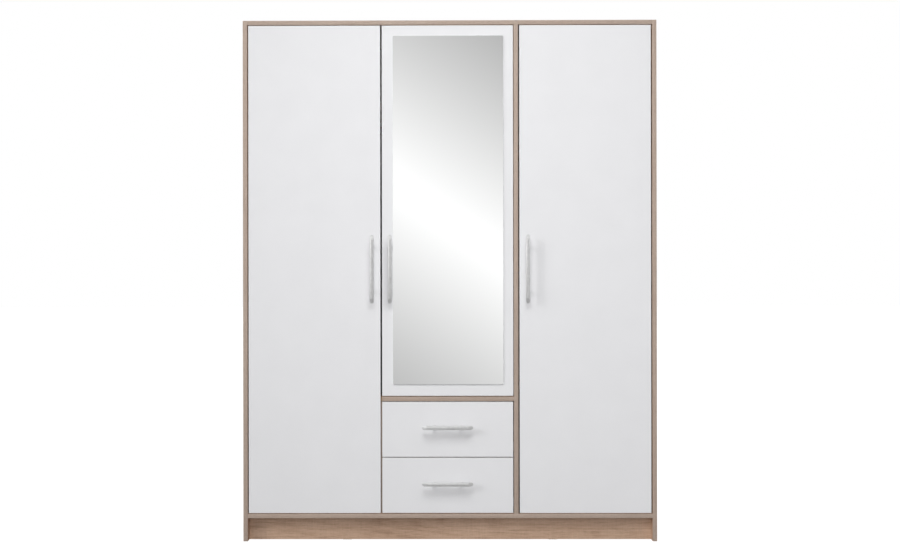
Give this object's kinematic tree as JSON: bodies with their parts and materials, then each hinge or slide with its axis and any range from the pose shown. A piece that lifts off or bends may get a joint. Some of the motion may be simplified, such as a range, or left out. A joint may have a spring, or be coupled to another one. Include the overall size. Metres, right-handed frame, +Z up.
{
  "type": "wardrobe",
  "caption": "Free-standing hinged-door wardrobe with a mirror on the middle door, drawers below it, bar handles, a hanging rail and shelves.",
  "frame": {"origin": "on the floor, under the middle of the whole wardrobe's box, handles included", "axes": "+X to the viewer's right, -Y out of the doors, +Z up"},
  "size_m": [1.5, 0.556, 1.89],
  "materials": {
    "oak_board": "satin melamine with a light oak print",
    "white_board": "satin white melamine",
    "drawer_board": "white melamine",
    "hardboard": "lacquered hardboard",
    "satin_nickel": "satin",
    "mirror": "polished",
    "hinge_steel": "nickel plated",
    "runner_enamel": "satin enamel",
    "roller_plastic": "satin",
    "rail_chrome": "polished",
    "strip_plastic": "satin",
    "glide_plastic": "satin",
    "beech": "raw",
    "zinc_steel": "zinc plated"
  },
  "bodies": {
    "case": {"left_side_panel": "oak_board", "right_side_panel": "oak_board", "top_panel": "oak_board", "bottom_panel": "oak_board", "tall_partition": "oak_board", "short_partition": "oak_board", "drawer_roof_board": "oak_board", "front_plinth": "oak_board", "rear_plinth": "oak_board", "hat_shelf": "oak_board", "lower_linen_shelf": "oak_board", "middle_linen_shelf": "oak_board", "upper_linen_shelf": "oak_board", "hanging_rail": "rail_chrome", "rail_sockets": "hinge_steel", "left_back_panel": "hardboard", "middle_back_panel": "hardboard", "right_back_panel": "hardboard", "back_panel_strip": "strip_plastic", "shelf_pins": "zinc_steel", "cam_fittings": "zinc_steel", "wood_dowels": "beech", "fixing_screws": "zinc_steel", "back_panel_nails": "zinc_steel", "floor_glides": "glide_plastic", "wall_brackets": "zinc_steel", "hinge_arms": "hinge_steel", "cabinet_runners": "runner_enamel"},
    "left_door": {"left_door_panel": "white_board", "left_door_handle": "satin_nickel", "left_door_hinge_cups": "hinge_steel"},
    "left_door_arm_links": {"left_door_hinge_arm_links": "hinge_steel"},
    "left_door_cup_links": {"left_door_hinge_cup_links": "hinge_steel"},
    "mirror_door": {"mirror_door_panel": "white_board", "mirror_door_handle": "satin_nickel", "mirror_door_hinge_cups": "hinge_steel", "mirror_glass": "mirror"},
    "mirror_door_arm_links": {"mirror_door_hinge_arm_links": "hinge_steel"},
    "mirror_door_cup_links": {"mirror_door_hinge_cup_links": "hinge_steel"},
    "right_door": {"right_door_panel": "white_board", "right_door_handle": "satin_nickel", "right_door_hinge_cups": "hinge_steel"},
    "right_door_arm_links": {"right_door_hinge_arm_links": "hinge_steel"},
    "right_door_cup_links": {"right_door_hinge_cup_links": "hinge_steel"},
    "lower_drawer": {"lower_drawer_front": "white_board", "lower_drawer_sides": "drawer_board", "lower_drawer_back": "drawer_board", "lower_drawer_bottom": "hardboard", "lower_drawer_handle": "satin_nickel", "lower_drawer_runners": "runner_enamel"},
    "lower_front_rollers": {"lower_front_rollers": "roller_plastic"},
    "lower_rear_rollers": {"lower_rear_rollers": "roller_plastic"},
    "upper_drawer": {"upper_drawer_front": "white_board", "upper_drawer_sides": "drawer_board", "upper_drawer_back": "drawer_board", "upper_drawer_bottom": "hardboard", "upper_drawer_handle": "satin_nickel", "upper_drawer_runners": "runner_enamel"},
    "upper_front_rollers": {"upper_front_rollers": "roller_plastic"},
    "upper_rear_rollers": {"upper_rear_rollers": "roller_plastic"}
  },
  "joints": [
    {"name": "left_door_swing", "type": "hinge", "parent": "case", "child": "left_door", "pos_m": [-0.7305, -0.24, 0.988], "axis": [0, 0, -1], "range_deg": [0, 100]},
    {"name": "left_door_arm_link_turn", "type": "hinge", "parent": "case", "child": "left_door_arm_links", "pos_m": [-0.7145, -0.218, 0.988], "axis": [0, 0, -1], "range_deg": [0, 112.5]},
    {"name": "left_door_cup_link_turn", "type": "hinge", "parent": "left_door", "child": "left_door_cup_links", "pos_m": [-0.6975, -0.231, 0.988], "axis": [0, 0, -1], "range_deg": [-81.5, 0]},
    {"name": "mirror_door_swing", "type": "hinge", "parent": "case", "child": "mirror_door", "pos_m": [0.2305, -0.24, 1.2], "axis": [0, 0, 1], "range_deg": [0, 100]},
    {"name": "mirror_door_arm_link_turn", "type": "hinge", "parent": "case", "child": "mirror_door_arm_links", "pos_m": [0.2145, -0.218, 1.2], "axis": [0, 0, 1], "range_deg": [0, 112.5]},
    {"name": "mirror_door_cup_link_turn", "type": "hinge", "parent": "mirror_door", "child": "mirror_door_cup_links", "pos_m": [0.1975, -0.231, 1.2], "axis": [0, 0, 1], "range_deg": [-81.5, 0]},
    {"name": "right_door_swing", "type": "hinge", "parent": "case", "child": "right_door", "pos_m": [0.73, -0.24, 0.988], "axis": [0, 0, 1], "range_deg": [0, 100]},
    {"name": "right_door_arm_link_turn", "type": "hinge", "parent": "case", "child": "right_door_arm_links", "pos_m": [0.714, -0.218, 0.988], "axis": [0, 0, 1], "range_deg": [0, 112.5]},
    {"name": "right_door_cup_link_turn", "type": "hinge", "parent": "right_door", "child": "right_door_cup_links", "pos_m": [0.697, -0.231, 0.988], "axis": [0, 0, 1], "range_deg": [-81.5, 0]},
    {"name": "lower_drawer_slide", "type": "slide", "parent": "case", "child": "lower_drawer", "axis": [0, -1, 0], "range_m": [0, 0.34]},
    {"name": "lower_front_roller_turn", "type": "hinge", "parent": "case", "child": "lower_front_rollers", "pos_m": [-0.0055, -0.205, 0.136], "axis": [1, 0, 0], "range_deg": [0, 1860]},
    {"name": "lower_rear_roller_turn", "type": "hinge", "parent": "lower_drawer", "child": "lower_rear_rollers", "pos_m": [-0.0055, 0.211, 0.1358], "axis": [1, 0, 0], "range_deg": [0, 1860]},
    {"name": "upper_drawer_slide", "type": "slide", "parent": "case", "child": "upper_drawer", "axis": [0, -1, 0], "range_m": [0, 0.34]},
    {"name": "upper_front_roller_turn", "type": "hinge", "parent": "case", "child": "upper_front_rollers", "pos_m": [-0.0055, -0.205, 0.341], "axis": [1, 0, 0], "range_deg": [0, 1860]},
    {"name": "upper_rear_roller_turn", "type": "hinge", "parent": "upper_drawer", "child": "upper_rear_rollers", "pos_m": [-0.0055, 0.211, 0.3408], "axis": [1, 0, 0], "range_deg": [0, 1860]}
  ],
  "couplings": [
    {"joint": "left_door_arm_link_turn", "follows": "left_door_swing", "ratio": 1.117},
    {"joint": "left_door_cup_link_turn", "follows": "left_door_swing", "ratio": -0.8075},
    {"joint": "mirror_door_arm_link_turn", "follows": "mirror_door_swing", "ratio": 1.117},
    {"joint": "mirror_door_cup_link_turn", "follows": "mirror_door_swing", "ratio": -0.8075},
    {"joint": "right_door_arm_link_turn", "follows": "right_door_swing", "ratio": 1.117},
    {"joint": "right_door_cup_link_turn", "follows": "right_door_swing", "ratio": -0.8075},
    {"joint": "lower_front_roller_turn", "follows": "lower_drawer_slide", "rad_per_m": 95.238},
    {"joint": "lower_rear_roller_turn", "follows": "lower_drawer_slide", "rad_per_m": 95.238},
    {"joint": "upper_front_roller_turn", "follows": "upper_drawer_slide", "rad_per_m": 95.238},
    {"joint": "upper_rear_roller_turn", "follows": "upper_drawer_slide", "rad_per_m": 95.238}
  ]
}
